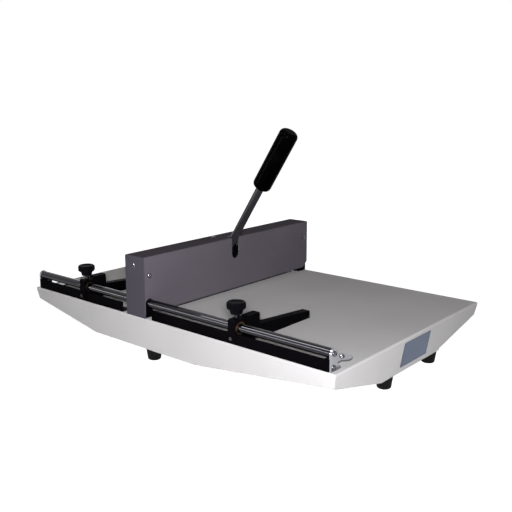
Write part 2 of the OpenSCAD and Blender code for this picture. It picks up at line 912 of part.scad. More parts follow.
// Turn a piece drawn upright on the shaft's axis to the lever's rest
module on_lever() {
    translate([beam_x, lever_y, pivot_z]) rotate([0, lever_lean, 0]) children();
}

module rocker_shaft() {
    color(steel) placed() difference() {
        bar_y(plate_t + shaft_end_gap, table_d - cover_t - shaft_end_gap, beam_x, pivot_z,
              shaft_r);
        on_lever() bar_z(hub_seat_r, hub_r, 0, 0, spigot_r);
    }
}

module lever_hub() {
    color(black) placed() difference() {
        bar_y(lever_y - hub_l / 2, lever_y + hub_l / 2, beam_x, pivot_z, hub_r);
        bar_y(lever_y - hub_l, lever_y + hub_l, beam_x, pivot_z, shaft_r);
        on_lever() bar_z(0, 2 * hub_r, 0, 0, spigot_r);
    }
}

module lever_rod() {
    color(chrome) placed() on_lever() {
        bar_z(hub_seat_r, hub_r + over, 0, 0, spigot_r);
        bar_z(hub_r, rod_end, 0, 0, rod_r);
    }
}

// Rounded corner of the grip, from its end to its side
function grip_corner(z, up) = [
    for (i = [0 : 6])
        let (a = up > 0 ? i * 15 : 90 - i * 15)
        [grip_r - grip_round + grip_round * cos(a), z + up * grip_round * sin(a)]
];

module lever_grip() {
    low = grip_ends[0];
    high = grip_ends[1];
    color(black) placed() on_lever() rotate_extrude() polygon(concat(
        [[rod_r, low]],
        grip_corner(low + grip_round, -1),
        grip_corner(high - grip_round, 1),
        [[0, high], [0, rod_end], [rod_r, rod_end]]
    ));
}

// A point of the cam's outline, in X and Z from the shaft, where the follower
// touches it once the shaft has turned by the angle
function cam_point(angle) =
    let (height = cam_rest_h - run_gap + cam_rate * angle * PI / 180)
    [beam_x + height * sin(angle) + cam_rate * cos(angle),
     pivot_z - height * cos(angle) + cam_rate * sin(angle)];

module cam(y) {
    color(steel) placed() difference() {
        union() {
            bar_y(y - cam_t / 2, y + cam_t / 2, beam_x, pivot_z, cam_hub_r);
            prism_y(concat(
                [[beam_x, pivot_z]],
                [for (i = [0 : cam_steps]) cam_point(lever_swing * i / cam_steps)]
            ), y - cam_t / 2, y + cam_t / 2);
        }
        bar_y(y - cam_t, y + cam_t, beam_x, pivot_z, shaft_r);
    }
}
module front_cam() cam(lever_y - cam_offset);
module rear_cam() cam(lever_y + cam_offset);

module stop_collar() {
    y = lever_y + top_screw_place[1];
    color(steel) placed() difference() {
        union() {
            bar_y(y - stop_collar_t / 2, y + stop_collar_t / 2, beam_x, pivot_z,
                  stop_collar_r);
            block([beam_x + run_gap, y - stop_collar_t / 2, pivot_z],
                  [beam_x + run_gap + stop_lug_w, y + stop_collar_t / 2,
                   pivot_z + stop_lug_top]);
        }
        bar_y(y - stop_collar_t, y + stop_collar_t, beam_x, pivot_z, shaft_r);
    }
}

// Blade: pressure bar, blade, its screws and the follower pads

function blade_screw_points() = [
    for (i = [0 : blade_screw_count - 1])
        lever_y - die_l / 2 + blade_screw_end
            + i * (die_l - 2 * blade_screw_end) / (blade_screw_count - 1)
];

module pressure_bar() {
    slot_half = blade_t / 2 + bore_gap;
    color(steel) placed() difference() {
        block([beam_x - bar_w / 2, bar_end, bar_low],
              [beam_x + bar_w / 2, table_d - bar_end, bar_low + bar_h]);
        block([beam_x - slot_half, bar_end - over, bar_low - over],
              [beam_x + slot_half, table_d - bar_end + over, bar_low + blade_seat + bore_gap]);
        for (y = pin_places())
            bar_z(bar_low - over, bar_low + bar_h + over, beam_x, y, pin_r + bore_gap);
        for (y = blade_screw_points())
            bar_x(beam_x, beam_x + bar_w, y, bar_low + blade_seat / 2, screw_r + bore_gap);
    }
}

module creasing_blade() {
    y0 = lever_y - die_l / 2;
    y1 = lever_y + die_l / 2;
    color(chrome) placed() {
        block([beam_x - blade_t / 2, y0, blade_rest_z + blade_t / 2],
              [beam_x + blade_t / 2, y1, bar_low + blade_seat]);
        bar_y(y0, y1, beam_x, blade_rest_z + blade_t / 2, blade_t / 2);
    }
}

module blade_screws() {
    color(zinc) placed()
        for (y = blade_screw_points())
            bar_x(beam_x + blade_t / 2 + bore_gap, beam_x + bar_w / 2 - bore_gap, y,
                  bar_low + blade_seat / 2, screw_r);
}

module follower_pad(y) {
    color(steel) placed()
        block([beam_x - pad_w / 2, y - pad_l / 2, bar_low + bar_h],
              [beam_x + pad_w / 2, y + pad_l / 2, pivot_z - cam_rest_h]);
}
module front_follower_pad() follower_pad(lever_y - cam_offset);
module rear_follower_pad() follower_pad(lever_y + cam_offset);

// Paper stops, drawn with the middle of the block at x = 0 and the arm to the
// right. The left stop is the mirror image of the right one.

module at_stop(x) {
    placed() translate([x, 0, 0]) {
        if (x < beam_x) mirror([1, 0, 0]) children();
        else children();
    }
}

module stop_block(x) {
    color(black) at_stop(x) difference() {
        prism_x([
            [-block_lip, lip_low], [fence_y - leg_gap, lip_low],
            [fence_y - leg_gap, fence_h + leg_gap],
            [fence_y + fence_t + leg_gap, fence_h + leg_gap],
            [fence_y + fence_t + leg_gap, block_low], [block_rear, block_low],
            [block_rear, block_top], [block_chamfer - block_lip, block_top],
            [-block_lip, block_top - block_chamfer]
        ], -block_w / 2, block_w / 2);
        bar_x(-block_w, block_w, rail_y, rail_z, stop_bush_r);
        bar_z(rail_z, block_top + over, 0, rail_y, stud_r + bore_gap);
        bar_y(arm_screw_tip - bore_gap, block_rear + over, arm_screw_x, arm_screw_z,
              arm_screw_r + bore_gap);
        bar_y(-block_lip - over, fence_y, 0, lip_screw_z, lip_screw_r + bore_gap);
    }
}

module stop_arm(x) {
    right = block_w / 2 + arm_out;
    head_y = boss_rear - arm_screw_head_h;
    color(black) at_stop(x) difference() {
        prism_x([
            [block_rear, arm_low], [arm_reach, arm_low],
            [arm_reach, arm_heights[1] - arm_tip_chamfer],
            [arm_reach - arm_tip_chamfer, arm_heights[1]],
            [boss_rear, arm_heights[0]], [boss_rear, boss_top], [block_rear, boss_top]
        ], right - arm_w, right);
        bar_y(block_rear - over, boss_rear + over, arm_screw_x, arm_screw_z,
              arm_screw_r + slip_gap);
        bar_y(head_y, boss_rear + over, arm_screw_x, arm_screw_z,
              arm_screw_head_r + slip_gap);
    }
}

module stop_bush(x) {
    half = block_w / 2;
    color(bronze) at_stop(x) difference() {
        union() {
            bar_x(-half, half, rail_y, rail_z, stop_bush_r);
            bar_x(half, half + bush_flange_t, rail_y, rail_z, bush_flange_r);
        }
        bar_x(-block_w, block_w, rail_y, rail_z, rail_r + bore_gap);
    }
}

module stop_screws(x) {
    color(zinc) at_stop(x) {
        translate([arm_screw_x, boss_rear - arm_screw_head_h, arm_screw_z])
            rotate([90, 0, 0])
                socket_bolt(boss_rear - arm_screw_head_h - arm_screw_tip, arm_screw_r,
                            arm_screw_head_r, arm_screw_head_h);
        translate([0, -block_lip, lip_screw_z]) rotate([-90, 0, 0])
            socket_bolt(block_lip + lip_screw_end, lip_screw_r, lip_head_r, lip_head_h);
    }
}

module knob(x) {
    color(black) at_stop(x) translate([0, rail_y, 0]) difference() {
        rotate_extrude() polygon([
            [0, knob_low], [knob_hub_rs[0], knob_low], [knob_hub_rs[1], knob_seat],
            [knob_r - knob_round, knob_seat], [knob_r, knob_seat + knob_round],
            [knob_r, knob_top - knob_round], [knob_r - knob_round, knob_top],
            [knob_dish_r, knob_top], [knob_dish_r - knob_dish_d, knob_top - knob_dish_d],
            [0, knob_top - knob_dish_d]
        ]);
        bar_z(knob_low - over, stud_top, 0, 0, stud_r);
        for (i = [0 : knob_lobes - 1]) rotate([0, 0, 360 * i / knob_lobes])
            bar_z(knob_seat - over / 2, knob_top + over, knob_r + knob_flute_out, 0,
                  knob_flute_r);
    }
}

module knob_stud(x) {
    color(chrome) at_stop(x) bar_z(stud_low, stud_top, 0, rail_y, stud_r);
}

module left_stop_block() stop_block(left_stop_x);
module left_stop_arm() stop_arm(left_stop_x);
module left_stop_bush() stop_bush(left_stop_x);
module left_stop_screws() stop_screws(left_stop_x);
module left_knob() knob(left_stop_x);
module left_knob_stud() knob_stud(left_stop_x);
module right_stop_block() stop_block(right_stop_x);
module right_stop_arm() stop_arm(right_stop_x);
module right_stop_bush() stop_bush(right_stop_x);
module right_stop_screws() stop_screws(right_stop_x);
module right_knob() knob(right_stop_x);
module right_knob_stud() knob_stud(right_stop_x);

table_tray();
base_beam();
creasing_die();
die_screws();
front_post();
rear_post();
post_bolts();
front_shaft_bush();
rear_shaft_bush();
beam_cover();
front_end_plate();
cover_screws();
lever_stop_block();
front_rail();
left_fence_angle();
right_fence_angle();
left_rail_bracket();
right_rail_bracket();
rail_screws();
bracket_screws();
fence_screws();
foot_front();
foot_rear();
foot_left_front();
foot_left_rear();
foot_right_front();
foot_right_rear();
foot_screws();
foot_nuts();
front_guide_pin();
rear_guide_pin();
guide_pin_rings();
front_return_spring();
rear_return_spring();
rocker_shaft();
lever_hub();
lever_rod();
lever_grip();
front_cam();
rear_cam();
stop_collar();
pressure_bar();
creasing_blade();
blade_screws();
front_follower_pad();
rear_follower_pad();
left_stop_block();
left_stop_arm();
left_stop_bush();
left_stop_screws();
left_knob();
left_knob_stud();
right_stop_block();
right_stop_arm();
right_stop_bush();
right_stop_screws();
right_knob();
right_knob_stud();
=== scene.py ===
"""Looks of the desktop paper creasing machine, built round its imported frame.

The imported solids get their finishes, the sheets, blocks, cams and knobs get broken edges, the
right-hand skirt gets its bare plate, and a studio lights the machine as in the photograph.
"""
import json
import logging
import math
from abc import ABC, abstractmethod
from dataclasses import dataclass, field
from enum import Enum
from typing import Any, Dict, List, Optional, Sequence, Tuple, Union

import bpy
from mathutils import Euler, Matrix, Vector


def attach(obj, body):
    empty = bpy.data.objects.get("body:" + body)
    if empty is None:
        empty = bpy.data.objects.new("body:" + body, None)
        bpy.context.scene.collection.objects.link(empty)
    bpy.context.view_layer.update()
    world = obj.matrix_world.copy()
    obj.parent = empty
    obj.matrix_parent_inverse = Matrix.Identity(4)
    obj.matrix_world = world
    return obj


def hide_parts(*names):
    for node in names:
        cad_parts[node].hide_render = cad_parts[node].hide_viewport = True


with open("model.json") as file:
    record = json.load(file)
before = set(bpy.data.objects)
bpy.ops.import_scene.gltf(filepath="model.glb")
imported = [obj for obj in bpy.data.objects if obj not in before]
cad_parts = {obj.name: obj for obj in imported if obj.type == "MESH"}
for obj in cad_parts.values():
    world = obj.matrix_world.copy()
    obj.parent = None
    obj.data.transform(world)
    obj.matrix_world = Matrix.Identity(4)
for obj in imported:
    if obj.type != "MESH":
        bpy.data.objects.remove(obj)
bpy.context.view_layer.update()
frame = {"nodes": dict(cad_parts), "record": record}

LOG = logging.getLogger("creasing_machine")

Colour = Tuple[float, float, float]
Point = Tuple[float, float, float]
Span = Tuple[float, float]
SocketKey = Union[int, str]
SocketValue = Union["Signal", float, Sequence[float]]

MM_PER_METRE = 1000
WHITE: Colour = (1.0, 1.0, 1.0)
UNSTRETCHED: Point = (1.0, 1.0, 1.0)
ACROSS = Vector((1.0, 0.0, 0.0))

# Where the table's front left corner stands in the frame, as in the part's source
TABLE_ORIGIN = Vector((-0.3, -0.1946, 0.066))


def at_table(x_mm: float, y_mm: float, z_mm: float) -> Vector:
    """Point of the frame for a place in millimetres from the table's front left corner.

    Args:
        x_mm: Distance to the right.
        y_mm: Distance to the back.
        z_mm: Height above the table's top.

    Returns:
        The same place in the frame, in metres.
    """
    return TABLE_ORIGIN + Vector((x_mm, y_mm, z_mm)) / MM_PER_METRE


class Signal:
    """A shader socket that takes part in Python expressions."""

    def __init__(self, recipe: "Recipe", socket: bpy.types.NodeSocket) -> None:
        """Keep the socket and the recipe that owns its node."""
        self.recipe = recipe
        self.socket = socket

    def _math(self, operation: str, first: SocketValue, second: SocketValue) -> "Signal":
        """Add one Math node.

        Args:
            operation: The node's operation.
            first: Its first operand.
            second: Its second operand.

        Returns:
            The node's result.
        """
        return self.recipe.signal("ShaderNodeMath", {"operation": operation}, {0: first, 1: second})

    def __add__(self, other: SocketValue) -> "Signal":
        """Sum."""
        return self._math("ADD", self, other)

    def __radd__(self, other: SocketValue) -> "Signal":
        """Sum with a number on the left."""
        return self._math("ADD", other, self)

    def __sub__(self, other: SocketValue) -> "Signal":
        """Difference."""
        return self._math("SUBTRACT", self, other)

    def __rsub__(self, other: SocketValue) -> "Signal":
        """Difference with a number on the left."""
        return self._math("SUBTRACT", other, self)

    def __mul__(self, other: SocketValue) -> "Signal":
        """Product."""
        return self._math("MULTIPLY", self, other)

    def __rmul__(self, other: SocketValue) -> "Signal":
        """Product with a number on the left."""
        return self._math("MULTIPLY", other, self)

    def most(self, other: SocketValue) -> "Signal":
        """The larger of the two."""
        return self._math("MAXIMUM", self, other)

    def ramp(self, low: float, high: float) -> "Signal":
        """Smooth step that rises from 0 at low to 1 at high.

        Args:
            low: Value below which the result is 0.
            high: Value above which the result is 1.

        Returns:
            The stepped signal.
        """
        return self.recipe.signal(
            "ShaderNodeMapRange",
            {"interpolation_type": "SMOOTHSTEP"},
            {"Value": self, "From Min": low, "From Max": high},
        )


class Recipe:
    """The node graph of a material or of the world."""

    # Places of the Mix node's sockets for colours, because several of its sockets share a name
    MIX_SHARE = 0
    MIX_FIRST = 6
    MIX_SECOND = 7
    MIX_RESULT = 2
    OPAQUE = 1.0

    def __init__(self, owner: Union[bpy.types.Material, bpy.types.World]) -> None:
        """Empty the owner's graph.

        Args:
            owner: The material or world that the graph belongs to.
        """
        owner.use_nodes = True
        self.tree = owner.node_tree
        self.tree.nodes.clear()

    def node(
        self,
        kind: str,
        settings: Optional[Dict[str, Any]] = None,
        inputs: Optional[Dict[SocketKey, SocketValue]] = None,
    ) -> bpy.types.Node:
        """Add a node.

        Args:
            kind: The node's type.
            settings: Its own settings, set before its sockets.
            inputs: Values or links of its input sockets, by name or place.

        Returns:
            The node.
        """
        made = self.tree.nodes.new(kind)
        for key, value in (settings or {}).items():
            setattr(made, key, value)
        for key, value in (inputs or {}).items():
            socket = made.inputs[key]
            if isinstance(value, Signal):
                self.tree.links.new(value.socket, socket)
            elif socket.type == "RGBA":
                socket.default_value = (*value, self.OPAQUE)
            else:
                socket.default_value = value
        return made

    def signal(
        self,
        kind: str,
        settings: Optional[Dict[str, Any]] = None,
        inputs: Optional[Dict[SocketKey, SocketValue]] = None,
        output: SocketKey = 0,
    ) -> Signal:
        """Add a node and take one of its outputs.

        Args:
            kind: The node's type.
            settings: Its own settings.
            inputs: Values or links of its input sockets.
            output: Name or place of the output.

        Returns:
            The chosen output.
        """
        return Signal(self, self.node(kind, settings, inputs).outputs[output])

    def coordinates(self) -> Signal:
        """The piece's own coordinates, in metres."""
        return self.signal("ShaderNodeTexCoord", output="Object")

    def noise(self, per_metre: float, detail: float, stretch: Point = UNSTRETCHED) -> Signal:
        """Cloudy noise between 0 and 1 on the piece's own coordinates.

        Args:
            per_metre: How many features fit in a metre.
            detail: Octaves.
            stretch: Factor of the coordinates along each axis.

        Returns:
            The noise.
        """
        where = self.signal(
            "ShaderNodeMapping", inputs={"Vector": self.coordinates(), "Scale": stretch}
        )
        return self.signal(
            "ShaderNodeTexNoise", inputs={"Vector": where, "Scale": per_metre, "Detail": detail}
        )

    def blend(self, share: SocketValue, first: SocketValue, second: SocketValue) -> Signal:
        """Mix two colours.

        Args:
            share: Share of the second colour.
            first: Colour where the share is 0.
            second: Colour where it is 1.

        Returns:
            The mixed colour.
        """
        inputs = {self.MIX_SHARE: share, self.MIX_FIRST: first, self.MIX_SECOND: second}
        return self.signal("ShaderNodeMix", {"data_type": "RGBA"}, inputs, self.MIX_RESULT)

    def bump(self, height: Signal, depth_m: float) -> Signal:
        """Normal of a surface with a relief between 0 and 1 that is depth_m deep."""
        return self.signal("ShaderNodeBump", inputs={"Height": height, "Distance": depth_m})

    def seen(self) -> Signal:
        """Mark the rays that bring the background to the picture.

        Returns:
            1 for rays from the camera and those that show in gloss or through glass, else 0.
        """
        path = self.node("ShaderNodeLightPath")
        camera, gloss, glass = (
            Signal(self, path.outputs[f"Is {kind} Ray"])
            for kind in ("Camera", "Glossy", "Transmission")
        )
        return camera.most(gloss).most(glass)

    def close(self, shader: Signal, output: str = "ShaderNodeOutputMaterial") -> None:
        """Link a shader to the graph's output node, of the given type."""
        self.node(output, inputs={"Surface": shader})


class Finish(ABC):
    """One of the machine's surface finishes."""

    @abstractmethod
    def surface(self, recipe: Recipe) -> Dict[str, SocketValue]:
        """Values and signals of the shader's sockets.

        Args:
            recipe: The graph to build in.

        Returns:
            Socket names and what they get.
        """

    def material(self, title: str) -> bpy.types.Material:
        """The finish as a material, made once.

        Args:
            title: The material's name.

        Returns:
            The material.
        """
        made = bpy.data.materials.get(title)
        if made is None:
            made = bpy.data.materials.new(title)
            recipe = Recipe(made)
            recipe.close(recipe.signal("ShaderNodeBsdfPrincipled", inputs=self.surface(recipe)))
        return made


@dataclass(frozen=True)
class PowderCoat(Finish):
    """Baked powder paint with orange peel, faint scuffs, flecks and slow clouds of tone."""

    colour: Colour
    shade: Colour
    gloss_roughness: float
    peel_m: float
    scuffs: float
    shine: float
    fleck_share: float = 0.16
    cloud_roughness: float = 0.1
    scuff_roughness: float = 0.14

    def surface(self, recipe: Recipe) -> Dict[str, SocketValue]:
        """Paint colour with clouds and flecks, scuffs in the gloss and peel in the normal.

        Args:
            recipe: The graph to build in.

        Returns:
            Socket names and what they get.
        """
        clouds = recipe.noise(per_metre=7.0, detail=4.0)
        scuff = recipe.noise(per_metre=38.0, detail=6.0, stretch=(0.35, 1.0, 1.0))
        peel = recipe.noise(per_metre=620.0, detail=2.0)
        fleck = recipe.noise(per_metre=2600.0, detail=1.0).ramp(low=0.62, high=0.8)
        tint = recipe.blend(clouds.ramp(low=0.3, high=0.75), self.colour, self.shade)
        return {
            "Base Color": recipe.blend(fleck * self.fleck_share, tint, self.shade),
            "Roughness": (
                self.gloss_roughness
                + self.cloud_roughness * clouds
                + self.scuff_roughness * self.scuffs * scuff.ramp(low=0.58, high=0.74)
            ),
            "Normal": recipe.bump(peel, self.peel_m),
            "Specular IOR Level": self.shine,
        }


@dataclass(frozen=True)
class PolishedMetal(Finish):
    """Plated or polished metal with fine lines, smudges and dulled patches."""

    colour: Colour
    stain: Colour
    shine_roughness: float
    line_stretch: Point = UNSTRETCHED
    line_depth_m: float = 0.000004
    metallic: float = 1.0
    dulling: float = 0.1
    line_dulling: float = 0.4
    stain_share: float = 0.6
    shine: float = 0.05

    def surface(self, recipe: Recipe) -> Dict[str, SocketValue]:
        """Metal whose colour and gloss change a little in slow patches.

        Args:
            recipe: The graph to build in.

        Returns:
            Socket names and what they get.
        """
        patch = recipe.noise(per_metre=26.0, detail=5.0)
        lines = recipe.noise(per_metre=1500.0, detail=2.0, stretch=self.line_stretch)
        stained = patch.ramp(low=0.5, high=0.8) * self.stain_share
        dulled = patch.ramp(low=0.45, high=0.85) + self.line_dulling * lines
        return {
            "Base Color": recipe.blend(stained, self.colour, self.stain),
            "Metallic": self.metallic,
            "Specular IOR Level": self.shine,
            "Roughness": self.shine_roughness + self.dulling * dulled,
            "Normal": recipe.bump(lines, self.line_depth_m),
        }


@dataclass(frozen=True)
class MouldedPlastic(Finish):
    """Black moulded plastic with a soft grain and handling marks."""

    colour: Colour
    rubbed: Colour
    gloss_roughness: float
    grain_m: float
    shine: float
    rub_share: float = 0.7
    rub_roughness: float = 0.12
    grain_roughness: float = 0.08

    def surface(self, recipe: Recipe) -> Dict[str, SocketValue]:
        """Grain in the normal and rubbed patches in colour and gloss.

        Args:
            recipe: The graph to build in.

        Returns:
            Socket names and what they get.
        """
        rub = recipe.noise(per_metre=48.0, detail=5.0).ramp(low=0.52, high=0.78)
        grain = recipe.noise(per_metre=1400.0, detail=2.0)
        return {
            "Base Color": recipe.blend(rub * self.rub_share, self.colour, self.rubbed),
            "Roughness": (
                self.gloss_roughness + self.rub_roughness * rub + self.grain_roughness * grain
            ),
            "Specular IOR Level": self.shine,
            "Normal": recipe.bump(grain, self.grain_m),
        }


@dataclass(frozen=True)
class SinteredBronze(Finish):
    """Oil-filled sintered bronze with its open pores."""

    colour: Colour
    pore: Colour
    pores_per_metre: float = 1900.0
    pore_m: float = 0.00003
    pore_share: float = 0.55
    roughness: float = 0.34
    pore_roughness: float = 0.2

    def surface(self, recipe: Recipe) -> Dict[str, SocketValue]:
        """Pores in colour, gloss and normal over a dull metal.

        Args:
            recipe: The graph to build in.

        Returns:
            Socket names and what they get.
        """
        cells = recipe.signal(
            "ShaderNodeTexVoronoi",
            inputs={"Vector": recipe.coordinates(), "Scale": self.pores_per_metre},
        )
        pores = 1.0 - cells.ramp(low=0.1, high=0.42)
        return {
            "Base Color": recipe.blend(pores * self.pore_share, self.colour, self.pore),
            "Metallic": 1.0,
            "Roughness": self.roughness + self.pore_roughness * pores,
            "Normal": recipe.bump(cells, self.pore_m),
        }


@dataclass(frozen=True)
class MouldedRubber(Finish):
    """Matte rubber with dust in its grain."""

    colour: Colour
    dust: Colour
    dust_share: float = 0.35
    roughness: float = 0.62
    dust_roughness: float = 0.2
    grain_m: float = 0.00004
    shine: float = 0.05

    def surface(self, recipe: Recipe) -> Dict[str, SocketValue]:
        """Dull black with pale dust where the noise runs high.

        Args:
            recipe: The graph to build in.

        Returns:
            Socket names and what they get.
        """
        dust = recipe.noise(per_metre=120.0, detail=6.0).ramp(low=0.5, high=0.8)
        grain = recipe.noise(per_metre=2200.0, detail=2.0)
        return {
            "Base Color": recipe.blend(dust * self.dust_share, self.colour, self.dust),
            "Roughness": self.roughness + self.dust_roughness * dust,
            "Specular IOR Level": self.shine,
            "Normal": recipe.bump(grain, self.grain_m),
        }


@dataclass(frozen=True)
class BrushedPlate(Finish):
    """Silver-blue metal with brushed lines and slow bands of tint."""

    colour: Colour
    tint: Colour
    metallic: float = 0.55
    roughness: float = 0.36
    line_roughness: float = 0.16
    line_m: float = 0.00001

    def surface(self, recipe: Recipe) -> Dict[str, SocketValue]:
        """Lines along the plate in gloss and normal, and bands in colour.

        Args:
            recipe: The graph to build in.

        Returns:
            Socket names and what they get.
        """
        lines = recipe.noise(per_metre=900.0, detail=4.0, stretch=(1.0, 0.05, 1.0))
        bands = recipe.noise(per_metre=18.0, detail=3.0, stretch=(1.0, 0.5, 1.6))
        return {
            "Base Color": recipe.blend(bands.ramp(low=0.3, high=0.7), self.colour, self.tint),
            "Metallic": self.metallic,
            "Roughness": self.roughness + self.line_roughness * lines,
            "Normal": recipe.bump(lines, self.line_m),
        }


# Stretches that draw a noise out into fine lines, as grinding and polishing leave them
LINES_TO_RIGHT: Point = (0.03, 1.0, 1.0)
LINES_TO_BACK: Point = (1.0, 0.04, 1.0)
LINES_UPWARDS: Point = (1.0, 1.0, 0.03)


class Finishes(Enum):
    """Every finish of the machine.

    A slot of the record has the finish of its name. The others dress single nodes, and
    SKIRT_PLATE the plate that only this scene has.
    """

    TABLE_PAINT = PowderCoat(
        colour=(0.7, 0.695, 0.677),
        shade=(0.655, 0.65, 0.632),
        gloss_roughness=0.6,
        peel_m=0.00005,
        scuffs=0.5,
        shine=0.01,
    )
    COVER_PAINT = PowderCoat(
        colour=(0.133, 0.121, 0.14),
        shade=(0.116, 0.105, 0.123),
        gloss_roughness=0.75,
        peel_m=0.00006,
        scuffs=0.6,
        shine=0.0,
    )
    # The cover's powder coat made darker for the end plate: painted shade, not a paint of its own
    END_PLATE_PAINT = PowderCoat(
        colour=(0.092, 0.086, 0.105),
        shade=(0.081, 0.075, 0.093),
        gloss_roughness=0.75,
        peel_m=0.00006,
        scuffs=0.6,
        shine=0.002,
    )
    BLACK_PAINT = PowderCoat(
        colour=(0.0012, 0.001, 0.0015),
        shade=(0.0032, 0.0028, 0.0036),
        gloss_roughness=0.3,
        peel_m=0.00004,
        scuffs=1.0,
        shine=0.003,
    )
    BARE_STEEL = PolishedMetal(
        colour=(0.46, 0.47, 0.49),
        stain=(0.33, 0.33, 0.34),
        shine_roughness=0.26,
        line_stretch=LINES_TO_BACK,
    )
    SPRING_STEEL = PolishedMetal(
        colour=(0.3, 0.31, 0.33),
        stain=(0.2, 0.2, 0.21),
        shine_roughness=0.28,
    )
    BLADE_STEEL = PolishedMetal(
        colour=(0.6, 0.61, 0.64),
        stain=(0.48, 0.48, 0.5),
        shine_roughness=0.16,
        line_stretch=LINES_TO_BACK,
    )
    BLACKENED_STEEL = PolishedMetal(
        colour=(0.02, 0.018, 0.018),
        stain=(0.012, 0.011, 0.011),
        shine_roughness=0.4,
        line_stretch=LINES_TO_BACK,
    )
    BRIGHT_CHROME = PolishedMetal(
        colour=(0.03, 0.029, 0.033),
        stain=(0.023, 0.023, 0.026),
        shine_roughness=0.03,
        line_stretch=LINES_TO_RIGHT,
        line_depth_m=0.0000004,
        dulling=0.03,
    )
    CHROMED_ROD = PolishedMetal(
        colour=(0.042, 0.042, 0.046),
        stain=(0.032, 0.032, 0.035),
        shine_roughness=0.16,
        line_stretch=LINES_UPWARDS,
        metallic=0.45,
    )
    NICKEL_PLATE = PolishedMetal(
        colour=(0.28, 0.28, 0.305),
        stain=(0.18, 0.18, 0.2),
        shine_roughness=0.16,
    )
    BLACKENED_SCREWS = PolishedMetal(
        colour=(0.05, 0.05, 0.055),
        stain=(0.03, 0.03, 0.033),
        shine_roughness=0.2,
    )
    PLATED_SCREWS = PolishedMetal(
        colour=(0.12, 0.12, 0.13),
        stain=(0.08, 0.08, 0.09),
        shine_roughness=0.12,
    )
    BRONZE = SinteredBronze(colour=(0.12, 0.075, 0.05), pore=(0.04, 0.028, 0.02))
    FOOT_RUBBER = MouldedRubber(colour=(0.005, 0.005, 0.005), dust=(0.022, 0.021, 0.02))
    GRIP_PLASTIC = MouldedPlastic(
        colour=(0.0006, 0.0005, 0.0007),
        rubbed=(0.002, 0.002, 0.0022),
        gloss_roughness=0.16,
        grain_m=0.00001,
        shine=0.004,
    )
    KNOB_PLASTIC = MouldedPlastic(
        colour=(0.003, 0.003, 0.0042),
        rubbed=(0.008, 0.008, 0.01),
        gloss_roughness=0.34,
        grain_m=0.00004,
        shine=0.01,
    )
    SKIRT_PLATE = BrushedPlate(colour=(0.042, 0.064, 0.112), tint=(0.063, 0.092, 0.149))

    def dress(self, piece: bpy.types.Object) -> None:
        """Give a piece this finish alone."""
        piece.data.materials.clear()
        piece.data.materials.append(self.value.material(f"{self.name.lower()}_finish"))


NODE_SLOT: Dict[str, str] = {
    entry["node"]: entry["material_slot"] for entry in frame["record"]["subparts"]
}
NODE_BODY: Dict[str, str] = {
    node: body
    for body, members in frame["record"]["behaviour"]["bodies"].items()
    for node in members
}
NODE_FINISH: Dict[str, Finishes] = {
    **{node: Finishes[slot.upper()] for node, slot in NODE_SLOT.items()},
    "creasing_die": Finishes.BLACKENED_STEEL,
    "lever_rod": Finishes.CHROMED_ROD,
    # The end plate gets the cover's paint darkened, a painted shade
    "front_end_plate": Finishes.END_PLATE_PAINT,
    "left_stop_screws": Finishes.BLACKENED_SCREWS,
    "right_stop_screws": Finishes.BLACKENED_SCREWS,
}


class Element(Enum):
    """What edit mode selects."""

    EDGE = "EDGE"
    FACE = "FACE"


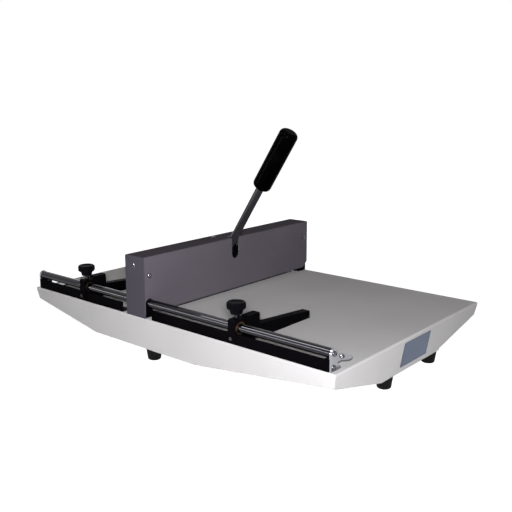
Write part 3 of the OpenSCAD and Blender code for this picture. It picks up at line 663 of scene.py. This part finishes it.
class Bench:
    """Modelling steps that every sub-assembly uses, on Blender's own operators."""

    # Points closer than this become one, and so do faces that bend less than this
    MERGE_M = 0.000002
    FLAT_DEGREES = 0.4
    # Greatest bend that is shaded smooth
    SMOOTH_DEGREES = 32.0
    # Least cosine between two directions that count as the same
    ALIGNED = 0.9

    @staticmethod
    def clear() -> None:
        """Leave edit mode and deselect everything."""
        if bpy.context.object is not None and bpy.context.object.mode != "OBJECT":
            bpy.ops.object.mode_set(mode="OBJECT")
        bpy.ops.object.select_all(action="DESELECT")

    @staticmethod
    def pick(piece: bpy.types.Object) -> None:
        """Select one piece alone and make it active.

        Args:
            piece: The piece.
        """
        Bench.clear()
        piece.select_set(True)
        bpy.context.view_layer.objects.active = piece

    @staticmethod
    def unmark(piece: bpy.types.Object, element: Element) -> None:
        """Deselect a piece's whole mesh.

        Args:
            piece: The piece.
            element: What edit mode selects from now on.
        """
        Bench.pick(piece)
        bpy.ops.object.mode_set(mode="EDIT")
        bpy.ops.mesh.select_mode(type=element.value)
        bpy.ops.mesh.select_all(action="DESELECT")
        bpy.ops.object.mode_set(mode="OBJECT")

    @staticmethod
    def mark_edges_along(piece: bpy.types.Object, axis: Vector) -> None:
        """Select the edges that run along an axis, then open edit mode.

        Args:
            piece: The piece.
            axis: Unit vector of the axis.
        """
        Bench.unmark(piece, Element.EDGE)
        vertices = piece.data.vertices
        for edge in piece.data.edges:
            start, end = (vertices[index].co for index in edge.vertices)
            edge.select = abs((end - start).normalized().dot(axis)) > Bench.ALIGNED
        bpy.ops.object.mode_set(mode="EDIT")

    @staticmethod
    def mark_faces_towards(piece: bpy.types.Object, way: Vector) -> None:
        """Select the faces that look one way, then open edit mode.

        Args:
            piece: The piece.
            way: Unit vector of that way.
        """
        Bench.unmark(piece, Element.FACE)
        for face in piece.data.polygons:
            face.select = face.normal.dot(way) > Bench.ALIGNED
        bpy.ops.object.mode_set(mode="EDIT")

    @staticmethod
    def apply(piece: bpy.types.Object, kind: str, **settings: Any) -> None:
        """Add a modifier, set it and apply it.

        Args:
            piece: The piece.
            kind: The modifier's type.
            **settings: Its settings.
        """
        Bench.pick(piece)
        made = piece.modifiers.new(kind.title(), kind)
        for key, value in settings.items():
            setattr(made, key, value)
        bpy.ops.object.modifier_apply(modifier=made.name)

    @staticmethod
    def smooth(piece: bpy.types.Object, degrees: float = SMOOTH_DEGREES) -> None:
        """Shade a piece smooth except across sharp edges.

        Args:
            piece: The piece.
            degrees: Bend past which an edge is sharp.
        """
        Bench.pick(piece)
        bpy.ops.object.shade_smooth_by_angle(angle=math.radians(degrees))
        Bench.apply(piece, "WEIGHTED_NORMAL", keep_sharp=True)

    @staticmethod
    def settle(piece: bpy.types.Object) -> None:
        """Put a piece's place, turn and size into its mesh."""
        Bench.pick(piece)
        bpy.ops.object.transform_apply(location=True, rotation=True, scale=True)

    @staticmethod
    def box(name: str, low: Vector, high: Vector) -> bpy.types.Object:
        """Start a piece from a cube between two corners.

        Args:
            name: The piece's name.
            low: Lowest corner.
            high: Highest corner.

        Returns:
            The piece, at the origin, with its place in its mesh.
        """
        Bench.clear()
        bpy.ops.mesh.primitive_cube_add(size=1.0, location=(low + high) / 2)
        piece = bpy.context.object
        piece.name = piece.data.name = name
        piece.scale = high - low
        Bench.settle(piece)
        return piece

    @staticmethod
    def copy_of(node: str, name: str) -> bpy.types.Object:
        """A merged copy of a CAD node's mesh, with its flat faces made whole.

        Args:
            node: The CAD node.
            name: The copy's name.

        Returns:
            The copy.
        """
        mesh = frame["nodes"][node].data.copy()
        mesh.name = name
        piece = bpy.data.objects.new(name, mesh)
        bpy.context.scene.collection.objects.link(piece)
        Bench.pick(piece)
        bpy.ops.object.mode_set(mode="EDIT")
        bpy.ops.mesh.select_all(action="SELECT")
        bpy.ops.mesh.remove_doubles(threshold=Bench.MERGE_M)
        bpy.ops.mesh.dissolve_limited(angle_limit=math.radians(Bench.FLAT_DEGREES))
        bpy.ops.object.mode_set(mode="OBJECT")
        if "custom_normal" in mesh.attributes:
            mesh.attributes.remove(mesh.attributes["custom_normal"])
        return piece


@dataclass(frozen=True)
class SoftEdges:
    """How the edges of a CAD node are broken, with its angles in degrees."""

    width_mm: float
    segments: int = 2
    least_angle: float = 35.0
    smooth_angle: float = Bench.SMOOTH_DEGREES


@dataclass
class Assembly(ABC):
    """A group of pieces that is built and dressed together."""

    pieces: List[bpy.types.Object] = field(default_factory=list, init=False)

    @abstractmethod
    def build(self) -> None:
        """Make and dress the assembly's own pieces."""

    def soften(self, edges: SoftEdges, *nodes: str) -> None:
        """Replace CAD nodes by copies with broken edges.

        Args:
            edges: How the edges are broken.
            *nodes: The CAD nodes.
        """
        for node in nodes:
            piece = Bench.copy_of(node, f"{node}_finished")
            Bench.apply(
                piece,
                "BEVEL",
                width=edges.width_mm / MM_PER_METRE,
                segments=edges.segments,
                limit_method="ANGLE",
                angle_limit=math.radians(edges.least_angle),
                use_clamp_overlap=True,
                miter_outer="MITER_ARC",
            )
            Bench.smooth(piece, edges.smooth_angle)
            self.place(piece, NODE_BODY[node], NODE_FINISH[node], NODE_SLOT[node], node)

    def place(
        self, piece: bpy.types.Object, body: str, finish: Finishes, slot: str, *nodes: str
    ) -> None:
        """Dress a piece, fix it to its body, let it stand for CAD nodes and list it.

        Args:
            piece: The piece.
            body: The body that it rides on.
            finish: Its finish.
            slot: The record's slot that it belongs to; not used.
            *nodes: CAD nodes that it replaces.
        """
        finish.dress(piece)
        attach(piece, body)
        if nodes:
            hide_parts(*nodes)
        self.pieces.append(piece)


@dataclass
class FoldedTable(Assembly):
    """The folded sheet table, with the bare plate on its right-hand skirt."""

    folds: SoftEdges = SoftEdges(width_mm=0.5, least_angle=40.0, smooth_angle=30.0)
    width_mm: float = 600.0
    skirt_mm: float = 50.0
    lean_mm: float = 9.0
    plate_y_mm: Span = (164.0, 236.0)
    plate_z_mm: Span = (-42.5, -6.5)
    plate_mm: float = 0.6
    corner_mm: float = 1.2
    corner_segments: int = 5
    rim_mm: float = 1.1
    rim_slope_mm: float = 0.12
    rim_height_mm: float = 0.18

    def build(self) -> None:
        """Break the table's edges and add the plate."""
        self.soften(self.folds, "table_tray")
        self.skirt_plate()

    def skirt_plate(self) -> None:
        """Lay a thin plate with rounded corners and a raised rim on the leaning skirt."""
        front, back = self.plate_y_mm
        low, high = self.plate_z_mm
        piece = Bench.box(
            "skirt_plate",
            at_table(self.width_mm, front, low),
            at_table(self.width_mm + self.plate_mm, back, high),
        )
        Bench.mark_edges_along(piece, ACROSS)
        bpy.ops.mesh.bevel(
            offset=self.corner_mm / MM_PER_METRE, segments=self.corner_segments, affect="EDGES"
        )
        Bench.mark_faces_towards(piece, ACROSS)
        bpy.ops.mesh.inset(thickness=self.rim_mm / MM_PER_METRE, depth=0.0)
        bpy.ops.mesh.inset(
            thickness=self.rim_slope_mm / MM_PER_METRE, depth=-self.rim_height_mm / MM_PER_METRE
        )
        Bench.clear()
        lean = Matrix.Rotation(math.atan2(self.lean_mm, self.skirt_mm), 4, "Y")
        fold = at_table(self.width_mm, 0.0, 0.0)
        piece.matrix_world = Matrix.Translation(fold) @ lean @ Matrix.Translation(-fold)
        Bench.settle(piece)
        Bench.smooth(piece)
        self.place(piece, "frame", Finishes.SKIRT_PLATE, "nickel_plate")


@dataclass
class PressBeam(Assembly):
    """Cover, end plate, posts and base beam, with the lever's stop block."""

    sheet_edges: SoftEdges = SoftEdges(width_mm=0.3)
    block_edges: SoftEdges = SoftEdges(width_mm=0.5)
    beam_edges: SoftEdges = SoftEdges(width_mm=0.6)

    def build(self) -> None:
        """Break the edges of the beam's sheets and blocks."""
        self.soften(self.sheet_edges, "beam_cover", "front_end_plate")
        self.soften(self.block_edges, "front_post", "rear_post")
        self.soften(self.beam_edges, "base_beam")
        self.soften(self.block_edges, "lever_stop_block")


@dataclass
class HandLever(Assembly):
    """Hub, cams and stop collar on the lever's shaft."""

    hub_edges: SoftEdges = SoftEdges(width_mm=0.8, segments=3)
    cam_edges: SoftEdges = SoftEdges(width_mm=0.4)
    collar_edges: SoftEdges = SoftEdges(width_mm=0.5)

    def build(self) -> None:
        """Break the edges of the hub, the cams and the collar."""
        self.soften(self.hub_edges, "lever_hub")
        self.soften(self.cam_edges, "front_cam", "rear_cam")
        self.soften(self.collar_edges, "stop_collar")


@dataclass
class BladeUnit(Assembly):
    """Pressure bar and follower pads."""

    bar_edges: SoftEdges = SoftEdges(width_mm=0.6)
    pad_edges: SoftEdges = SoftEdges(width_mm=0.5)

    def build(self) -> None:
        """Break the edges of the bar and the pads."""
        self.soften(self.bar_edges, "pressure_bar")
        self.soften(self.pad_edges, "front_follower_pad", "rear_follower_pad")


@dataclass
class FrontRail(Assembly):
    """Fence angles and end brackets of the rail."""

    angle_edges: SoftEdges = SoftEdges(width_mm=0.35)
    bracket_edges: SoftEdges = SoftEdges(width_mm=0.45, segments=3)

    def build(self) -> None:
        """Break the edges of the angles and the brackets."""
        self.soften(self.angle_edges, "left_fence_angle", "right_fence_angle")
        self.soften(self.bracket_edges, "left_rail_bracket", "right_rail_bracket")


class Side(Enum):
    """Sides of the beam that a paper stop works on."""

    LEFT = "left"
    RIGHT = "right"


@dataclass
class PaperStop(Assembly):
    """One paper stop with its clamp knob."""

    side: Side
    block_edges: SoftEdges = SoftEdges(width_mm=0.6)
    arm_edges: SoftEdges = SoftEdges(width_mm=0.7, segments=3)
    knob_edges: SoftEdges = SoftEdges(width_mm=0.5, least_angle=30.0)

    def build(self) -> None:
        """Break the edges of the block, the arm and the knob."""
        self.soften(self.block_edges, f"{self.side.value}_stop_block")
        self.soften(self.arm_edges, f"{self.side.value}_stop_arm")
        self.soften(self.knob_edges, f"{self.side.value}_knob")


class Reach(Enum):
    """Surfaces that a lamp lights: whether matte ones, and whether it shows in gloss."""

    EVERYWHERE = (True, True)
    MATTE = (True, False)
    GLOSS = (False, True)


@dataclass(frozen=True)
class Softbox:
    """A rectangular lamp that the camera doesn't see, with its first side level."""

    name: str
    place: Point
    target: Point
    sides_m: Span
    watts: float
    colour: Colour = WHITE
    reach: Reach = Reach.EVERYWHERE
    spread_degrees: float = 180.0

    def hang(self) -> None:
        """Add the lamp to the scene and point it at its target."""
        light = bpy.data.lights.new(self.name, "AREA")
        light.shape = "RECTANGLE"
        light.color = self.colour
        light.size, light.size_y = self.sides_m
        light.energy = self.watts
        light.spread = math.radians(self.spread_degrees)
        lamp = bpy.data.objects.new(self.name, light)
        lamp.visible_camera = False
        lamp.visible_diffuse, lamp.visible_glossy = self.reach.value
        bpy.context.scene.collection.objects.link(lamp)
        place = Vector(self.place)
        turn = (Vector(self.target) - place).to_track_quat("-Z", "Y").to_matrix().to_4x4()
        lamp.matrix_world = Matrix.Translation(place) @ turn


FILL_COLOUR: Colour = (0.99, 0.985, 1.0)

SOFTBOXES: Tuple[Softbox, ...] = (
    Softbox(
        name="key_softbox",
        place=(0.74, -0.86, 0.43),
        target=(0.05, -0.05, 0.08),
        sides_m=(0.14, 0.14),
        watts=13.3,
        colour=(0.965, 0.955, 1.0),
    ),
    Softbox(
        name="top_softbox",
        place=(0.1, -0.5, 1.8),
        target=(0.0, 0.0, 0.1),
        sides_m=(1.2, 1.2),
        watts=0.08,
        colour=(1.0, 0.75, 0.45),
    ),
    Softbox(
        name="high_strip",
        place=(-0.3, -0.75, 1.15),
        target=(-0.3, -0.18, 0.09),
        sides_m=(1.4, 0.16),
        watts=22.0,
        reach=Reach.GLOSS,
    ),
    Softbox(
        name="low_strip",
        place=(-0.6, -1.38, 0.17),
        target=(-0.6, -0.18, 0.09),
        sides_m=(2.2, 0.1),
        watts=20.0,
        reach=Reach.GLOSS,
    ),
    Softbox(
        name="back_fill",
        place=(-0.1, 1.45, 0.14),
        target=(-0.1, 0.2, 0.06),
        sides_m=(1.0, 0.2),
        watts=8.0,
        colour=FILL_COLOUR,
        reach=Reach.MATTE,
    ),
    Softbox(
        name="left_fill",
        place=(-1.55, 0.2, 0.14),
        target=(-0.3, 0.1, 0.06),
        sides_m=(0.7, 0.2),
        watts=6.0,
        colour=FILL_COLOUR,
        reach=Reach.MATTE,
    ),
    Softbox(
        name="table_fill",
        place=(-1.0, 0.22, 0.35),
        target=(-0.2, 0.18, 0.066),
        sides_m=(0.1, 0.06),
        watts=0.2,
        colour=FILL_COLOUR,
        reach=Reach.MATTE,
        spread_degrees=34.0,
    ),
)


@dataclass
class Studio:
    """Floor, surround, lamps and the camera of the photograph."""

    lens_mm: float = 50.8
    sensor_mm: float = 36.0
    shift: Span = (0.0255, -0.0276)
    near_clip_m: float = 0.01
    camera_mm: Point = (1031.61, -654.64, 315.61)
    camera_turn_degrees: Point = (78.399, 0.25, 41.061)
    floor_m: float = 30.0
    floor_colour: Colour = (0.7, 0.7, 0.7)
    floor_glow: float = 0.9
    horizon_glow: float = 0.1
    horizon_m: Span = (0.45, 1.25)
    surround_light: float = 0.03
    surround_tint: Colour = (1.0, 0.92, 0.8)
    softboxes: Tuple[Softbox, ...] = SOFTBOXES

    def build(self) -> None:
        """Set the stage."""
        self.camera()
        self.floor()
        self.backdrop()
        for softbox in self.softboxes:
            softbox.hang()
        bpy.context.scene.view_settings.view_transform = "Standard"

    def camera(self) -> None:
        """Place the camera where the photograph was taken from."""
        data = bpy.data.cameras.new("photo_camera")
        data.sensor_width = self.sensor_mm
        data.lens = self.lens_mm
        data.shift_x, data.shift_y = self.shift
        data.clip_start = self.near_clip_m
        camera = bpy.data.objects.new("photo_camera", data)
        bpy.context.scene.collection.objects.link(camera)
        turn = Euler([math.radians(angle) for angle in self.camera_turn_degrees], "XYZ")
        camera.matrix_world = (
            Matrix.Translation(at_table(*self.camera_mm)) @ turn.to_matrix().to_4x4()
        )
        bpy.context.scene.camera = camera

    def floor(self) -> None:
        """Lay a plain pale floor that keeps the machine's shadow and is white far away."""
        Bench.clear()
        bpy.ops.mesh.primitive_plane_add(size=self.floor_m, location=(0.0, 0.0, 0.0))
        floor = bpy.context.object
        floor.name = floor.data.name = "studio_floor"
        paper = bpy.data.materials.new("studio_floor")
        recipe = Recipe(paper)
        matte = recipe.signal("ShaderNodeBsdfDiffuse", inputs={"Color": self.floor_colour})
        distance = recipe.signal(
            "ShaderNodeVectorMath", {"operation": "LENGTH"}, {0: recipe.coordinates()}, "Value"
        )
        glow = self.floor_glow + self.horizon_glow * distance.ramp(*self.horizon_m)
        light = recipe.signal(
            "ShaderNodeEmission", inputs={"Color": WHITE, "Strength": recipe.seen() * glow}
        )
        recipe.close(recipe.signal("ShaderNodeAddShader", inputs={0: matte, 1: light}))
        paper.cycles.emission_sampling = "NONE"
        floor.data.materials.append(paper)

    def backdrop(self) -> None:
        """Surround the machine with white that lights it only a little."""
        world = bpy.data.worlds.new("studio_world")
        bpy.context.scene.world = world
        recipe = Recipe(world)
        seen = recipe.seen()
        surround = recipe.signal(
            "ShaderNodeBackground",
            inputs={
                "Color": recipe.blend(seen, self.surround_tint, WHITE),
                "Strength": self.surround_light + (1.0 - self.surround_light) * seen,
            },
        )
        recipe.close(surround, "ShaderNodeOutputWorld")


def dress_frame() -> None:
    """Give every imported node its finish."""
    for name, node in frame["nodes"].items():
        NODE_FINISH[name].dress(node)
        LOG.info("%s: %s", name, NODE_FINISH[name].name.lower())


def main() -> None:
    """Build the machine's looks and the studio."""
    logging.basicConfig(level=logging.INFO, format="%(name)s: %(message)s")
    dress_frame()
    Studio().build()
    for assembly in (
        FoldedTable(),
        PressBeam(),
        HandLever(),
        BladeUnit(),
        FrontRail(),
        PaperStop(Side.LEFT),
        PaperStop(Side.RIGHT),
    ):
        assembly.build()
        for piece in assembly.pieces:
            LOG.info("%s: %d faces", piece.name, len(piece.data.polygons))


if __name__ == "__main__":
    main()
